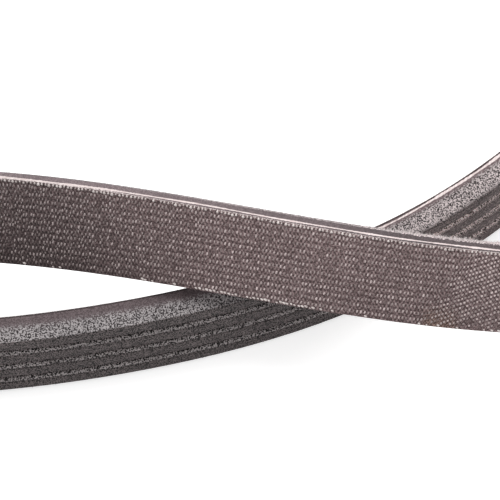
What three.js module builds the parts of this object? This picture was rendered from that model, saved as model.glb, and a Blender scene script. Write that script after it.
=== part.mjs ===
// A ribbed drive belt for an engine's accessories, made as one endless moulded piece.
// Its inner side carries V-shaped ribs, its outer side is a flat back, and its two edges are cut flat.
// Off its pulleys it lies on edge in a loose loop, with one strand fallen back over the other.
// Millimetres, +Z up. The loop lies on z = 0 and its outer box is centred on the Z axis.

import * as THREE from 'three';

// Section of the belt
const RIB_COUNT = 4;
const RIB_PITCH = 3.56; // from one rib's middle to the next
const RIB_HEIGHT = 2.0; // from a groove's floor to a rib's crest
const RIB_ANGLE = 40; // degrees between the two flanks of a groove
const GROOVE_FLOOR = 0.2; // width of the flat floor of a groove
const CREST_RADIUS = 0.35; // rounding along both edges of a crest
const BACK_THICKNESS = 2.6; // solid band behind the ribs
const CORD_DEPTH = 0.85; // from the back's surface to the load-carrying cords

// The loop
const BELT_LENGTH = 900; // measured along the cords
const BELT_WIDTH = RIB_COUNT * RIB_PITCH;

// How fine the facets are
const STATIONS_PER_SPAN = 8;
const CREST_ARC_STEPS = 2;

// The way the loop lies, followed anticlockwise seen from above. A smooth closed curve runs close by these
// points. Each row has the place in plan, how high the lower edge is off the bench as a share of the belt's
// width, and how far the upper edge leans towards the inside of the loop, in degrees.
// Rows with no height and no lean are where the belt stands upright on its lower edge.
const ROUTE = [
  { x: -220, y: 30, lift: 0.15, lean: -15 },
  { x: -200, y: -15, lift: 1.05, lean: 10 },
  { x: -150, y: -25, lift: 1.55, lean: 25 },
  { x: -102, y: -16, lift: 1.35, lean: 33 },
  { x: -55, y: -5, lift: 0.8, lean: 33 },
  { x: -18, y: -14, lift: 1.2, lean: 25 },
  { x: 30, y: -25, lift: 1.1, lean: 23 },
  { x: 71, y: -23, lift: 0.85, lean: 15 },
  { x: 115, y: -25, lift: 0.55, lean: 5 },
  { x: 155, y: -5, lift: 0.1, lean: -10 },
  { x: 165, y: 45, lift: 0, lean: 0 },
  { x: 125, y: 75, lift: 0, lean: 0 },
  { x: 83, y: 62, lift: 0, lean: 0 },
  { x: 55, y: 22, lift: 0, lean: 0 },
  { x: 26, y: -6, lift: 0, lean: 0 },
  { x: -15, y: -22, lift: 0, lean: 0 },
  { x: -78, y: -29, lift: 0, lean: 0 },
  { x: -115, y: 2, lift: 0, lean: 0 },
  { x: -140, y: 40, lift: 0, lean: 0 },
  { x: -185, y: 65, lift: 0, lean: 0 },
];

// The four weights of a uniform cubic B-spline, and how fast they change, at a share t of one span.
function splineWeights(t) {
  const s = 1 - t;
  return {
    value: [s ** 3 / 6, (3 * t ** 3 - 6 * t ** 2 + 4) / 6, (3 * s ** 3 - 6 * s ** 2 + 4) / 6, t ** 3 / 6],
    slope: [-(s ** 2) / 2, (3 * t ** 2 - 4 * t) / 2, (4 * s - 3 * s ** 2) / 2, t ** 2 / 2],
  };
}

// Blends the four route rows round a span, with the plan scaled, into a centre point of the belt and its lean.
function blendRoute(span, weights, planScale, baseHeight) {
  const centre = new THREE.Vector3(0, 0, baseHeight);
  let lean = 0;
  weights.forEach((weight, k) => {
    const row = ROUTE[(span + k - 1 + ROUTE.length) % ROUTE.length];
    centre.x += weight * row.x * planScale;
    centre.y += weight * row.y * planScale;
    centre.z += weight * row.lift * BELT_WIDTH;
    lean += weight * THREE.MathUtils.degToRad(row.lean);
  });
  return { centre, lean };
}

// One station of the belt: the middle of its cord line, and the directions of its upper edge and of its ribs.
function stationAt(span, t, planScale) {
  const weights = splineWeights(t);
  const { centre, lean } = blendRoute(span, weights.value, planScale, BELT_WIDTH / 2);
  const along = blendRoute(span, weights.slope, planScale, 0).centre.normalize();
  const vertical = new THREE.Vector3(0, 0, 1);
  const upright = vertical.addScaledVector(along, -along.z).normalize();
  const sideways = new THREE.Vector3().crossVectors(upright, along);
  const up = upright.multiplyScalar(Math.cos(lean)).addScaledVector(sideways, Math.sin(lean));
  const inward = new THREE.Vector3().crossVectors(up, along);
  return { centre, up, inward };
}

function stations(planScale) {
  const list = [];
  for (let span = 0; span < ROUTE.length; span += 1) {
    for (let step = 0; step < STATIONS_PER_SPAN; step += 1) {
      list.push(stationAt(span, step / STATIONS_PER_SPAN, planScale));
    }
  }
  return list;
}

function loopLength(list) {
  return list.reduce((sum, { centre }, i) => sum + centre.distanceTo(list[(i + 1) % list.length].centre), 0);
}

// The plan of the route is scaled so that the cords have the belt's stated length.
function planScaleFor(length) {
  return length / loopLength(stations(1));
}

// The closed outline of the section. The first number of a point is its depth, from the cords towards the ribs,
// and the second is its place across the belt, from the middle towards the upper edge.
function sectionOutline() {
  const flank = THREE.MathUtils.degToRad(RIB_ANGLE / 2);
  const halfWidth = BELT_WIDTH / 2;
  const grooveDepth = BACK_THICKNESS - CORD_DEPTH;
  const crestDepth = grooveDepth + RIB_HEIGHT;
  const halfCrest = (RIB_PITCH - GROOVE_FLOOR) / 2 - RIB_HEIGHT * Math.tan(flank);
  const arcAngle = Math.PI / 2 - flank;
  const radius = Math.min(CREST_RADIUS, halfCrest / Math.tan(arcAngle / 2));
  const arcOffset = halfCrest - radius * Math.tan(arcAngle / 2);

  const outline = [[-CORD_DEPTH, -halfWidth], [-CORD_DEPTH, halfWidth], [grooveDepth, halfWidth]];
  for (let rib = RIB_COUNT - 1; rib >= 0; rib -= 1) {
    const middle = (rib + 0.5) * RIB_PITCH - halfWidth;
    const foot = (RIB_PITCH - GROOVE_FLOOR) / 2;
    if (rib < RIB_COUNT - 1) outline.push([grooveDepth, middle + foot]);
    for (const side of [1, -1]) {
      for (let step = 0; step <= CREST_ARC_STEPS; step += 1) {
        const share = step / CREST_ARC_STEPS;
        const angle = arcAngle * (side > 0 ? 1 - share : share);
        const depth = crestDepth - radius * (1 - Math.cos(angle));
        outline.push([depth, middle + side * (arcOffset + radius * Math.sin(angle))]);
      }
    }
    if (rib > 0) outline.push([grooveDepth, middle - foot]);
  }
  outline.push([grooveDepth, -halfWidth]);
  return outline;
}

// Sweeps the section once round the loop and joins the last ring to the first.
function sweepLoop(outline, rings) {
  const positions = [];
  for (const { centre, up, inward } of rings) {
    for (const [depth, across] of outline) {
      const point = centre.clone().addScaledVector(inward, depth).addScaledVector(up, across);
      positions.push(point.x, point.y, point.z);
    }
  }
  const size = outline.length;
  const indices = [];
  for (let ring = 0; ring < rings.length; ring += 1) {
    const here = ring * size;
    const next = ((ring + 1) % rings.length) * size;
    for (let corner = 0; corner < size; corner += 1) {
      const after = (corner + 1) % size;
      indices.push(here + corner, next + corner, next + after);
      indices.push(here + corner, next + after, here + after);
    }
  }
  const geometry = new THREE.BufferGeometry();
  geometry.setAttribute('position', new THREE.Float32BufferAttribute(positions, 3));
  geometry.setIndex(indices);
  geometry.computeVertexNormals();
  return geometry;
}

// Dark rubber compound, matt all over.
const rubber = new THREE.MeshStandardMaterial({ color: 0x4b4445, roughness: 0.85, metalness: 0 });

const geometry = sweepLoop(sectionOutline(), stations(planScaleFor(BELT_LENGTH)));
geometry.computeBoundingBox();
const boxCentre = geometry.boundingBox.getCenter(new THREE.Vector3());

const belt = new THREE.Mesh(geometry, rubber);
belt.name = 'ribbed_belt';
belt.position.set(-boxCentre.x, -boxCentre.y, -geometry.boundingBox.min.z);

const group = new THREE.Group();
group.add(belt);

export default group;
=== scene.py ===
# %% [markdown]
# # Dressing a ribbed drive belt
# The belt is one moulded piece: a rubber body with V-shaped ribs, pale load-carrying cords wound through
# it, and a woven cloth cured onto its back. The imported model already gives its size and the way it lies.
# Here the same loop gets its fine section, its weave, the cords that its cut edges lay open, and its
# finishes. The frame is loaded first.

# %% Load the frame
import math

import bpy
import numpy as np
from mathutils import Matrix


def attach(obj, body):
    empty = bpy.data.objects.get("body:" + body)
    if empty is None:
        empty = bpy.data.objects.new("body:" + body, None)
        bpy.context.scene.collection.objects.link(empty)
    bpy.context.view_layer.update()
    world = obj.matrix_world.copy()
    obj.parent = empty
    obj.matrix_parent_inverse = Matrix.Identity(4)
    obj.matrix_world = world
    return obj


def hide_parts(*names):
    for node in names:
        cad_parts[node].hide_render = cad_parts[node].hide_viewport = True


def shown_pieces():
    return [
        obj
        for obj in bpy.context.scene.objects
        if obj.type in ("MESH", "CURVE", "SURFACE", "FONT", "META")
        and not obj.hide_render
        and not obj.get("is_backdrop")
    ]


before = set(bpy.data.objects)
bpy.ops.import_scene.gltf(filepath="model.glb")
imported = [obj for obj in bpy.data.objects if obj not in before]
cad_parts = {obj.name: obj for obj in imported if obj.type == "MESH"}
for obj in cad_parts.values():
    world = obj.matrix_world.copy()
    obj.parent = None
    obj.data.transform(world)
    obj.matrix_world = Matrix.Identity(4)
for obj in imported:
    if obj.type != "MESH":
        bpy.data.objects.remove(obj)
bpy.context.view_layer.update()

# %% [markdown]
# ## Sizes
# Everything is worked out from the section of the belt, the same values that the solid was made from. A
# pitch of 3.56 mm from rib to rib is the usual car section, and four ribs make the width.

# %% Sizes of the section, in metres
MM = 0.001
RIB_COUNT = 4
RIB_PITCH = 3.56 * MM
RIB_HEIGHT = 2.0 * MM
RIB_ANGLE = math.radians(40)
GROOVE_FLOOR = 0.2 * MM
CREST_RADIUS = 0.35 * MM
BACK_THICKNESS = 2.6 * MM
CORD_DEPTH = 0.85 * MM
BELT_LENGTH = 900 * MM
BELT_WIDTH = RIB_COUNT * RIB_PITCH

GROOVE_DEPTH = BACK_THICKNESS - CORD_DEPTH
CREST_DEPTH = GROOVE_DEPTH + RIB_HEIGHT
HALF_WIDTH = BELT_WIDTH / 2
print("belt width in mm:", round(BELT_WIDTH / MM, 2))

# %% [markdown]
# ## The route of the loop
# Off its pulleys the belt lies on edge, and one strand has fallen back over the other. A closed cubic
# B-spline runs close by a few points. Each row has the place in plan in mm, the height of the lower edge
# in belt widths, and the lean of the upper edge towards the inside in degrees. A spline is chosen over a
# Bezier path because its bend changes smoothly by itself, as a belt's does.

# %% Route points and the spline through them
ROUTE = [
    (-220, 30, 0.15, -15),
    (-200, -15, 1.05, 10),
    (-150, -25, 1.55, 25),
    (-102, -16, 1.35, 33),
    (-55, -5, 0.80, 33),
    (-18, -14, 1.20, 25),
    (30, -25, 1.10, 23),
    (71, -23, 0.85, 15),
    (115, -25, 0.55, 5),
    (155, -5, 0.10, -10),
    (165, 45, 0, 0),
    (125, 75, 0, 0),
    (83, 62, 0, 0),
    (55, 22, 0, 0),
    (26, -6, 0, 0),
    (-15, -22, 0, 0),
    (-78, -29, 0, 0),
    (-115, 2, 0, 0),
    (-140, 40, 0, 0),
    (-185, 65, 0, 0),
]
SPANS = len(ROUTE)
CAD_STATIONS = 8 * SPANS


def route_rows(plan_scale):
    """The route in metres and radians, with its plan scaled."""
    rows = np.array(ROUTE, dtype=float)
    units = [MM * plan_scale, MM * plan_scale, BELT_WIDTH, math.radians(1)]
    return rows * np.array(units)


def spline(rows, u):
    """Value and slope of the closed cubic B-spline at u, counted in spans."""
    span = np.floor(u).astype(int)
    t = (u - span)[:, None]
    s = 1 - t
    value = np.hstack([s**3, 3 * t**3 - 6 * t**2 + 4, 3 * s**3 - 6 * s**2 + 4, t**3]) / 6
    slope = np.hstack([-(s**2), 3 * t**2 - 4 * t, 4 * s - 3 * s**2, t**2]) / 2
    near = rows[(span[:, None] + np.arange(-1, 3)) % len(rows)]
    return np.einsum("nk,nkc->nc", value, near), np.einsum("nk,nkc->nc", slope, near)


def unit(vectors):
    return vectors / np.linalg.norm(vectors, axis=1)[:, None]


def loop_length(points):
    return np.linalg.norm(np.roll(points, -1, axis=0) - points, axis=1).sum()


def centres(plan_scale, count):
    value, _ = spline(route_rows(plan_scale), np.arange(count) * SPANS / count)
    return value[:, :3] + np.array([0, 0, HALF_WIDTH])


PLAN_SCALE = BELT_LENGTH / loop_length(centres(1, CAD_STATIONS))
ROWS = route_rows(PLAN_SCALE)

# %% [markdown]
# At each place along the loop three directions are needed: along the belt, up its width, and inward, the
# way that the ribs point. The upright direction is the vertical made square to the path, and the lean
# turns it.

# %% Directions along the loop
def stations_at(u):
    """Centre of the cord line, and the along, up and inward directions, at u in spans."""
    value, slope = spline(ROWS, u)
    along = unit(slope[:, :3])
    upright = unit(np.array([0, 0, 1.0]) - along * along[:, 2:3])
    sideways = np.cross(upright, along)
    lean = value[:, 3:4]
    up = np.cos(lean) * upright + np.sin(lean) * sideways
    centre = value[:, :3] + np.array([0, 0, HALF_WIDTH])
    return centre, along, up, np.cross(up, along), lean[:, 0]


def section_outline(arc_steps, back_depth, flank_steps=1):
    """The closed outline of the ribbed section, as rows of depth and place across."""
    flank = RIB_ANGLE / 2
    half_foot = (RIB_PITCH - GROOVE_FLOOR) / 2
    half_crest = half_foot - RIB_HEIGHT * math.tan(flank)
    arc_angle = math.pi / 2 - flank
    arc_offset = half_crest - CREST_RADIUS * math.tan(arc_angle / 2)
    outline = [(back_depth, -HALF_WIDTH), (back_depth, HALF_WIDTH), (GROOVE_DEPTH, HALF_WIDTH)]

    def side_of_rib(middle, side):
        angles = np.linspace(arc_angle, 0, arc_steps + 1)
        arc = [(CREST_DEPTH - CREST_RADIUS * (1 - math.cos(a)),
                middle + side * (arc_offset + CREST_RADIUS * math.sin(a))) for a in angles]
        foot = (GROOVE_DEPTH, middle + side * half_foot)
        rise = np.linspace(foot, arc[0], flank_steps + 1)[:-1]
        return [tuple(p) for p in rise] + arc

    for rib in reversed(range(RIB_COUNT)):
        middle = (rib + 0.5) * RIB_PITCH - HALF_WIDTH
        upper = side_of_rib(middle, 1)
        lower = side_of_rib(middle, -1)[::-1]
        outline += upper[1:] if rib == RIB_COUNT - 1 else upper
        outline += lower[:-1] if rib == 0 else lower
    outline.append((GROOVE_DEPTH, -HALF_WIDTH))
    return np.array(outline)


def sweep_points(outline, u):
    centre, _, up, inward, _ = stations_at(u)
    depth = outline[None, :, :1]
    across = outline[None, :, 1:]
    return centre[:, None] + inward[:, None] * depth + up[:, None] * across


CAD_SECTION = section_outline(2, -CORD_DEPTH)
cad_rings = sweep_points(CAD_SECTION, np.arange(CAD_STATIONS) * SPANS / CAD_STATIONS).reshape(-1, 3)
TO_FRAME = -(cad_rings.min(axis=0) + cad_rings.max(axis=0)) / 2
TO_FRAME[2] = 0
print("shift from the route to the frame in mm:", np.round(TO_FRAME / MM, 3))

# %% [markdown]
# Details are spaced by true length along the cords, so a table turns a length into a place on the spline.

# %% Places by length
fine_u = np.linspace(0, SPANS, 6001)
fine_centres = spline(ROWS, fine_u)[0][:, :3]
fine_steps = np.linalg.norm(np.diff(fine_centres, axis=0), axis=1)
fine_length = np.concatenate([[0], np.cumsum(fine_steps)])
LOOP = fine_length[-1]


def at_length(length):
    """Stations in the frame at lengths along the cords, in metres, going round as often as needed."""
    u = np.interp(np.mod(length, LOOP), fine_length, fine_u)
    centre, along, up, inward, lean = stations_at(np.mod(u, SPANS))
    return centre + TO_FRAME, along, up, inward, lean


def on_belt(length, depth, across):
    """Points in the frame, with the local along, up and inward directions."""
    centre, along, up, inward, _ = at_length(length)
    point = centre + inward * np.asarray(depth)[..., None] + up * np.asarray(across)[..., None]
    return point, along, up, inward


print("length round the cords in mm:", round(LOOP / MM, 1))

# %% [markdown]
# ## Camera
# The photograph looks down at the belt with a long lens. The scale in the picture comes from the rib
# pitch. A place in the picture is also a place on the belt: the helper below finds the length along the
# loop that a strand has at a pixel column, so that wear, seams and cords lie where the photograph shows
# them.

# %% Camera
CAMERA_ELEVATION = math.radians(54)
CAMERA_DISTANCE = 480 * MM
PICTURE_PIXELS = 500
PIXELS_PER_METRE = 6200
SENSOR_MM = 36.0

camera_data = bpy.data.cameras.new("camera")
camera = bpy.data.objects.new("camera", camera_data)
bpy.context.collection.objects.link(camera)
camera_data.sensor_width = SENSOR_MM
camera_data.lens = SENSOR_MM * CAMERA_DISTANCE * PIXELS_PER_METRE / PICTURE_PIXELS
camera_data.clip_start = 0.05
camera_data.clip_end = 10
backwards = np.array([0, -math.cos(CAMERA_ELEVATION), math.sin(CAMERA_ELEVATION)])
camera.location = TO_FRAME + backwards * CAMERA_DISTANCE
camera.rotation_euler = (math.pi / 2 - CAMERA_ELEVATION, 0, 0)
bpy.context.scene.camera = camera
print("lens in mm:", round(camera_data.lens, 1))

# %% Lengths along the loop, found from the picture
NEAR_STRAND = (0.15, 0.41)
FAR_STRAND = (0.60, 0.92)


def at_columns(strand, *columns):
    """Lengths along the loop at which a strand, given by its shares of the loop, crosses pixel columns."""
    tries = np.linspace(*strand, 4000) * LOOP
    seen = at_length(tries)[0] - np.array(camera.location)
    crossed = PICTURE_PIXELS / 2 - seen[:, 0] / (seen @ backwards) * CAMERA_DISTANCE * PIXELS_PER_METRE
    return [float(tries[np.argmin(np.abs(crossed - column))]) for column in columns]


# A stretch has four lengths along the loop: an effect fades in between the first two and out between the
# last two.
# Over this half of the loop light from one side is painted into the colours. Where it fades out on the far
# strand, it leaves the part near the crossing darker, as painted shade.
PAINTED_LIGHT_HALF = (*at_columns(NEAR_STRAND, 0, 272), *at_columns(FAR_STRAND, 430, 300))
# Over this stretch light is painted onto the cut edge.
PAINTED_LIGHT_EDGE_STRETCH = (0.42 * LOOP, 0.50 * LOOP, *PAINTED_LIGHT_HALF[2:])
LIGHT_EDGE_STRETCH = (0.03 * LOOP, 0.10 * LOOP, *at_columns(NEAR_STRAND, 40, 440))
FRAYED_STRETCH = (*at_columns(NEAR_STRAND, 335, 425), 0.93 * LOOP, 0.98 * LOOP)
FUZZY_STRETCH = (*at_columns(NEAR_STRAND, 335, 400), 0.43 * LOOP, 0.50 * LOOP)
WORN_STRETCH = (0.46 * LOOP, 0.55 * LOOP, *at_columns(FAR_STRAND, 400, 330))
OPENED_STRETCH = (0.03 * LOOP, 0.10 * LOOP, 0.42 * LOOP, 0.47 * LOOP)
WHITE_STRETCH = (0.05 * LOOP, 0.12 * LOOP, *at_columns(NEAR_STRAND, 70, 200))
BROAD_CORD_STRETCH = (0.43 * LOOP, 0.52 * LOOP, 0.80 * LOOP, 0.90 * LOOP)
RAGGED_STRETCH = at_columns(NEAR_STRAND, 190, 212, 316, 334)
STAIN_STRETCH = at_columns(NEAR_STRAND, 422, 434, 452, 468)
for title, ends in (("paler", PAINTED_LIGHT_HALF), ("frayed", FRAYED_STRETCH), ("worn", WORN_STRETCH)):
    print(title, "stretch in mm along the loop:", np.round(np.array(ends) / MM))


def smooth_step(values, low, high):
    t = np.clip((values - low) / (high - low), 0, 1)
    return t * t * (3 - 2 * t)


def share_of(stretch, length):
    """1 inside a stretch of the loop and 0 outside it, with soft ends, for lengths in an array."""
    return smooth_step(length, *stretch[:2]) * (1 - smooth_step(length, *stretch[2:]))


# %% [markdown]
# ## Helpers for node trees and meshes
# A node tree is built in the script, link by link. The result of a Geometry Nodes modifier is turned into
# a plain mesh before anything else is done with it.

# %% Helpers
def srgb(red, green, blue):
    """A colour read off a screen, 0 to 255, as the linear values that a shader takes."""
    channels = np.array([red, green, blue]) / 255
    linear = np.where(channels <= 0.04045, channels / 12.92, ((channels + 0.055) / 1.055) ** 2.4)
    return (*[float(c) for c in linear], 1.0)


def add_object(name, data):
    obj = bpy.data.objects.new(name, data)
    bpy.context.collection.objects.link(obj)
    return obj


class Tree:
    """A small helper that adds nodes to a tree and links them as it goes."""

    def __init__(self, tree):
        self.tree = tree

    def node(self, kind, settings=None, **inputs):
        made = self.tree.nodes.new(kind)
        for key, value in (settings or {}).items():
            setattr(made, key, value)
        for key, value in inputs.items():
            self.put(made, int(key[1:]) if key[0] == "_" else key.replace("_", " "), value)
        return made

    def put(self, made, key, value):
        target = made.inputs[key]
        if isinstance(value, bpy.types.NodeSocket):
            self.tree.links.new(value, target)
        elif isinstance(value, bpy.types.Node):
            self.tree.links.new(value.outputs[0], target)
        else:
            target.default_value = value

    def math(self, operation, first, second=0.0, third=0.0):
        return self.node("ShaderNodeMath", {"operation": operation}, _0=first, _1=second, _2=third)

    def vector(self, operation, first, second=(0, 0, 0)):
        return self.node("ShaderNodeVectorMath", {"operation": operation}, _0=first, _1=second)

    def ramp(self, value, low, high, kind="SMOOTHSTEP", to_low=0.0, to_high=1.0):
        settings = {"interpolation_type": kind}
        return self.node("ShaderNodeMapRange", settings, _0=value, _1=low, _2=high, _3=to_low, _4=to_high)

    def between(self, share, low, high):
        """A number that goes from low to high as the share goes from 0 to 1."""
        return self.ramp(share, 0.0, 1.0, "LINEAR", low, high)

    def scaled(self, vector, factor):
        return self.node("ShaderNodeVectorMath", {"operation": "SCALE"}, _0=vector, Scale=factor)

    def mix(self, share, first, second):
        return self.node("ShaderNodeMix", {"data_type": "RGBA"}, _0=share, _6=first, _7=second).outputs[2]


def group_tree(kind, name, inputs, outputs):
    """A node group with its sockets. Returns the helper, the input values and the inputs' identifiers."""
    group = bpy.data.node_groups.new(name, kind)

    def add_socket(side, label, holds):
        return group.interface.new_socket(label, in_out=side, socket_type="NodeSocket" + holds).identifier

    identifiers = {label: add_socket("INPUT", label, holds) for label, holds in inputs.items()}
    for label, holds in outputs.items():
        add_socket("OUTPUT", label, holds)
    return Tree(group), group.nodes.new("NodeGroupInput").outputs, identifiers


def geometry_tree(name, **inputs):
    """A geometry tree. Its inputs are given by name and kind, with a low line for each space in a name."""
    inputs = {label.replace("_", " "): kind for label, kind in inputs.items()}
    return group_tree("GeometryNodeTree", name, {"Geometry": "Geometry", **inputs}, {"Geometry": "Geometry"})


def finish_tree(tree, geometry, material):
    real = tree.node("GeometryNodeRealizeInstances", _0=geometry)
    painted = tree.node("GeometryNodeSetMaterial", Geometry=real, Material=material)
    tree.node("NodeGroupOutput", _0=painted)


def run_tree(tree, identifiers, source, name, **values):
    """Runs a geometry tree on an object and returns a new object with the plain mesh that it made."""
    modifier = source.modifiers.new("nodes", "NODES")
    modifier.node_group = tree.tree
    for label, value in values.items():
        modifier[identifiers[label.replace("_", " ")]] = value
    graph = bpy.context.evaluated_depsgraph_get()
    mesh = bpy.data.meshes.new_from_object(source.evaluated_get(graph), depsgraph=graph)
    mesh.name = name
    source.modifiers.remove(modifier)
    return add_object(name, mesh)


def store_values(mesh, label, values):
    """Stores a number for each point of a mesh, or a vector where the values are rows of three."""
    kind, field = ("FLOAT_VECTOR", "vector") if values.ndim == 2 else ("FLOAT", "value")
    made = mesh.attributes.new(label, kind, "POINT")
    made.data.foreach_set(field, values.astype(np.float32).ravel())


def triangles(obj):
    return sum(len(p.vertices) - 2 for p in obj.data.polygons)


def remove(*objects):
    for obj in objects:
        bpy.data.objects.remove(obj)


# %% [markdown]
# ## Shared effects
# Three effects are used by more than one finish, so each is a node group. Fine grain gives specks and a
# height for the bump. Cloudy tone makes a surface a little lighter here and darker there, as rubber and
# cloth are. Stretch of the loop is a mask by the length along it. Over one half of this belt light is
# painted into the colours, paler and redder than the other half, and the fraying, the wear, the opened
# cloth and a stain each have a stretch of their own.

# %% Shared node groups
def shader_group(name, inputs, outputs):
    """A shader group whose sockets are numbers, apart from a vector to read a pattern by."""
    kinds = {label: "Vector" if label == "Vector" else "Float" for label in inputs}
    tree, source, _ = group_tree("ShaderNodeTree", name, kinds, dict.fromkeys(outputs, "Float"))
    return tree, [source[label] for label in inputs], tree.node("NodeGroupOutput")


def make_fine_grain():
    """Specks from a fine warped noise, and the noise itself as a height."""
    values, outputs = ("Vector", "Scale", "Low", "High"), ("Mask", "Height")
    tree, (where, scale, low, high), target = shader_group("fine grain", values, outputs)
    noise = tree.node("ShaderNodeTexNoise", Vector=where, Scale=scale, Detail=1.0, Distortion=0.2)
    tree.put(target, "Mask", tree.ramp(noise, low, high))
    tree.put(target, "Height", noise)
    return tree.tree


def make_cloudy_tone():
    """A slow change of tone between two factors."""
    values = ("Vector", "Scale", "Darkest", "Lightest")
    tree, (where, scale, darkest, lightest), target = shader_group("cloudy tone", values, ("Tone",))
    noise = tree.node("ShaderNodeTexNoise", Vector=where, Scale=scale, Detail=3.0)
    tree.put(target, "Tone", tree.ramp(noise, 0.3, 0.7, "LINEAR", darkest, lightest))
    return tree.tree


def make_loop_stretch():
    """A mask that is 1 along one stretch of the loop and fades in and out at its ends."""
    values = ("Along", "Rise Start", "Rise End", "Fall Start", "Fall End")
    tree, (along, *ends), target = shader_group("stretch of the loop", values, ("Mask",))
    rise = tree.ramp(along, *ends[:2])
    fall = tree.ramp(along, *ends[2:], to_low=1.0, to_high=0.0)
    tree.put(target, "Mask", tree.math("MULTIPLY", rise, fall))
    return tree.tree


FINE_GRAIN = make_fine_grain()
CLOUDY_TONE = make_cloudy_tone()
LOOP_STRETCH = make_loop_stretch()
SHEEN_LEVEL = 0.35


def start_material(name, roughness):
    """A material with a Principled shader, and a vector of Object coordinates to read patterns by."""
    material = bpy.data.materials.new(name)
    material.use_nodes = True
    tree = Tree(material.node_tree)
    shader = material.node_tree.nodes["Principled BSDF"]
    shader.inputs["Roughness"].default_value = roughness
    shader.inputs["Specular IOR Level"].default_value = SHEEN_LEVEL
    where = tree.node("ShaderNodeTexCoord").outputs["Object"]
    return material, tree, shader, where


def attribute(tree, name):
    return tree.node("ShaderNodeAttribute", {"attribute_name": name}).outputs["Fac"]


def grain(tree, where, scale, low, high):
    return tree.node("ShaderNodeGroup", {"node_tree": FINE_GRAIN}, Vector=where, Scale=scale,
                     Low=low, High=high)


def cloud(tree, where, scale, darkest, lightest):
    return tree.node("ShaderNodeGroup", {"node_tree": CLOUDY_TONE}, Vector=where, Scale=scale,
                     Darkest=darkest, Lightest=lightest)


def stretch_mask(tree, stretch):
    rise_start, rise_end, fall_start, fall_end = stretch
    return tree.node("ShaderNodeGroup", {"node_tree": LOOP_STRETCH}, Along=attribute(tree, "along"),
                     Rise_Start=rise_start, Rise_End=rise_end, Fall_Start=fall_start, Fall_End=fall_end)


def paler(tree, colour, darkest, lightest, stretch=PAINTED_LIGHT_HALF, tint=(1, 1, 1)):
    """A colour times one factor off a stretch of the loop, and times another, with its tint, along it."""
    pale_factor = (*[lightest * channel for channel in tint], 1.0)
    factor = tree.mix(stretch_mask(tree, stretch), (darkest, darkest, darkest, 1.0), pale_factor)
    return tree.vector("MULTIPLY", colour, factor)


def bump(tree, shader, height, distance, strength):
    made = tree.node("ShaderNodeBump", Height=height, Distance=distance, Strength=strength)
    tree.put(shader, "Normal", made)


# %% [markdown]
# ## Rubber
# The crests of the ribs are moulded smooth and dark, with streaks along the belt. The flanks are ground,
# so short fibres and torn rubber show as light and dark specks, and along one stretch they fray out over
# the cut edge. Deep in the grooves shade is painted in as a dark colour, and the light band above that
# painted shade is wider over the half where light is painted. The cut edge is smooth and a little purple,
# with the marks of the knife. Where the knife has opened the cloth, a pale line of cut threads runs
# between the cords and the back, and elsewhere a dark one.

# %% Colours and sizes of the rubber's zones
CREST_COLOURS = (srgb(10, 8, 8), srgb(111, 102, 102))
EDGE_COLOURS = (srgb(82, 71, 73), srgb(108, 96, 98))
CLOTH_LINE_COLOUR = srgb(60, 50, 51)
CUT_CLOTH_COLOURS = (srgb(118, 106, 105), srgb(206, 194, 192))
WHITE_CLOTH_COLOURS = (srgb(150, 138, 137), srgb(240, 229, 227))
FLANK_COLOURS = (srgb(38, 33, 34), srgb(176, 170, 171))
GROOVE_COLOURS = (srgb(50, 45, 45), srgb(206, 198, 198))
GROOVE_SHADE_COLOURS = (srgb(6, 5, 5), srgb(140, 130, 130))
# A redder tint that goes with the light painted over one half of the belt
LIT_HALF_TINT = (1.04, 0.98, 0.965)

# Factors on the tone of a zone along a stretch of the loop
# Light painted onto the cut edge over one half of the belt
PAINTED_LIGHT_EDGE = 1.45
LIGHT_EDGE = 1.65
FUZZY_EDGE = 0.84
FUZZY_FLANK = 1.6
# Light painted onto the flanks over one half of the belt
PAINTED_LIGHT_FLANK = 1.46
WORN_GROOVE = 1.6
# Light painted onto the crests over one half of the belt
PAINTED_LIGHT_CREST = 1.60
STREAKS = (0.76, 1.22)
# Streak tones over the half where light is painted
LIT_HALF_STREAKS = (0.40, 1.75)
WORN_FLANK = (0.60, 1.12)

# Scale of a pattern, and then the two ends of its mask or of its tone
SPECKS = (4600, 0.42, 0.58)
FINE_SPECKS = (4800, 0.40, 0.60)
KNIFE_MARKS = (2600, 0.86, 1.14)
RUBBER_CLOUDS = (90, 0.90, 1.10)
STREAK_SCALE = 3000
STREAK_SHRINK = 0.08
KNIFE_SHRINK = 0.15

# How far the zones reach in the section
NEAT_WIDTH = 0.05 * MM
FRAYED_WIDTH = 1.1 * MM
FRAY_DEPTH = 1.7 * MM
FUZZY_LESS = 0.95 * MM
WORN_MORE = 0.40 * MM
WORN_STEEP = 1.60 * MM
WORN_CREST = 3.0 * MM
# Over the half where light is painted, the crest border sits higher and the painted shade deep in the grooves
# is narrower
LIT_HALF_CREST = 0.12 * MM
LIT_HALF_GROOVE = 0.35 * MM
RAGGED_GROOVE = 0.8 * MM
RAGGED_CLOTH_LINE = 0.3 * MM
FRAY_OVERRUN = 0.3
CLOTH_LINE_DEPTH = -0.42 * MM
CLOTH_LINE_BORDER = (CLOTH_LINE_DEPTH - 0.05 * MM, CLOTH_LINE_DEPTH + 0.05 * MM)
WORN_FLANK_DEPTHS = (0.2 * MM, 1.5 * MM)
LIT_GROOVE_BORDER = (CREST_DEPTH - 0.80 * MM, CREST_DEPTH - 0.50 * MM)
CREST_BORDER = (CREST_DEPTH - 0.26 * MM, CREST_DEPTH - 0.14 * MM)
OUTER_FLANK_BORDER = (HALF_WIDTH - 1.1 * MM, HALF_WIDTH - 1.0 * MM)

# %% [markdown]
# All the zones are one material. The sweep leaves each point's depth in the section, its place across and
# its length along, and those tell the zones apart. A pattern that is read by a vector with one side
# shrunk comes out drawn long that way, which gives the streaks and the knife marks.

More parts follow.
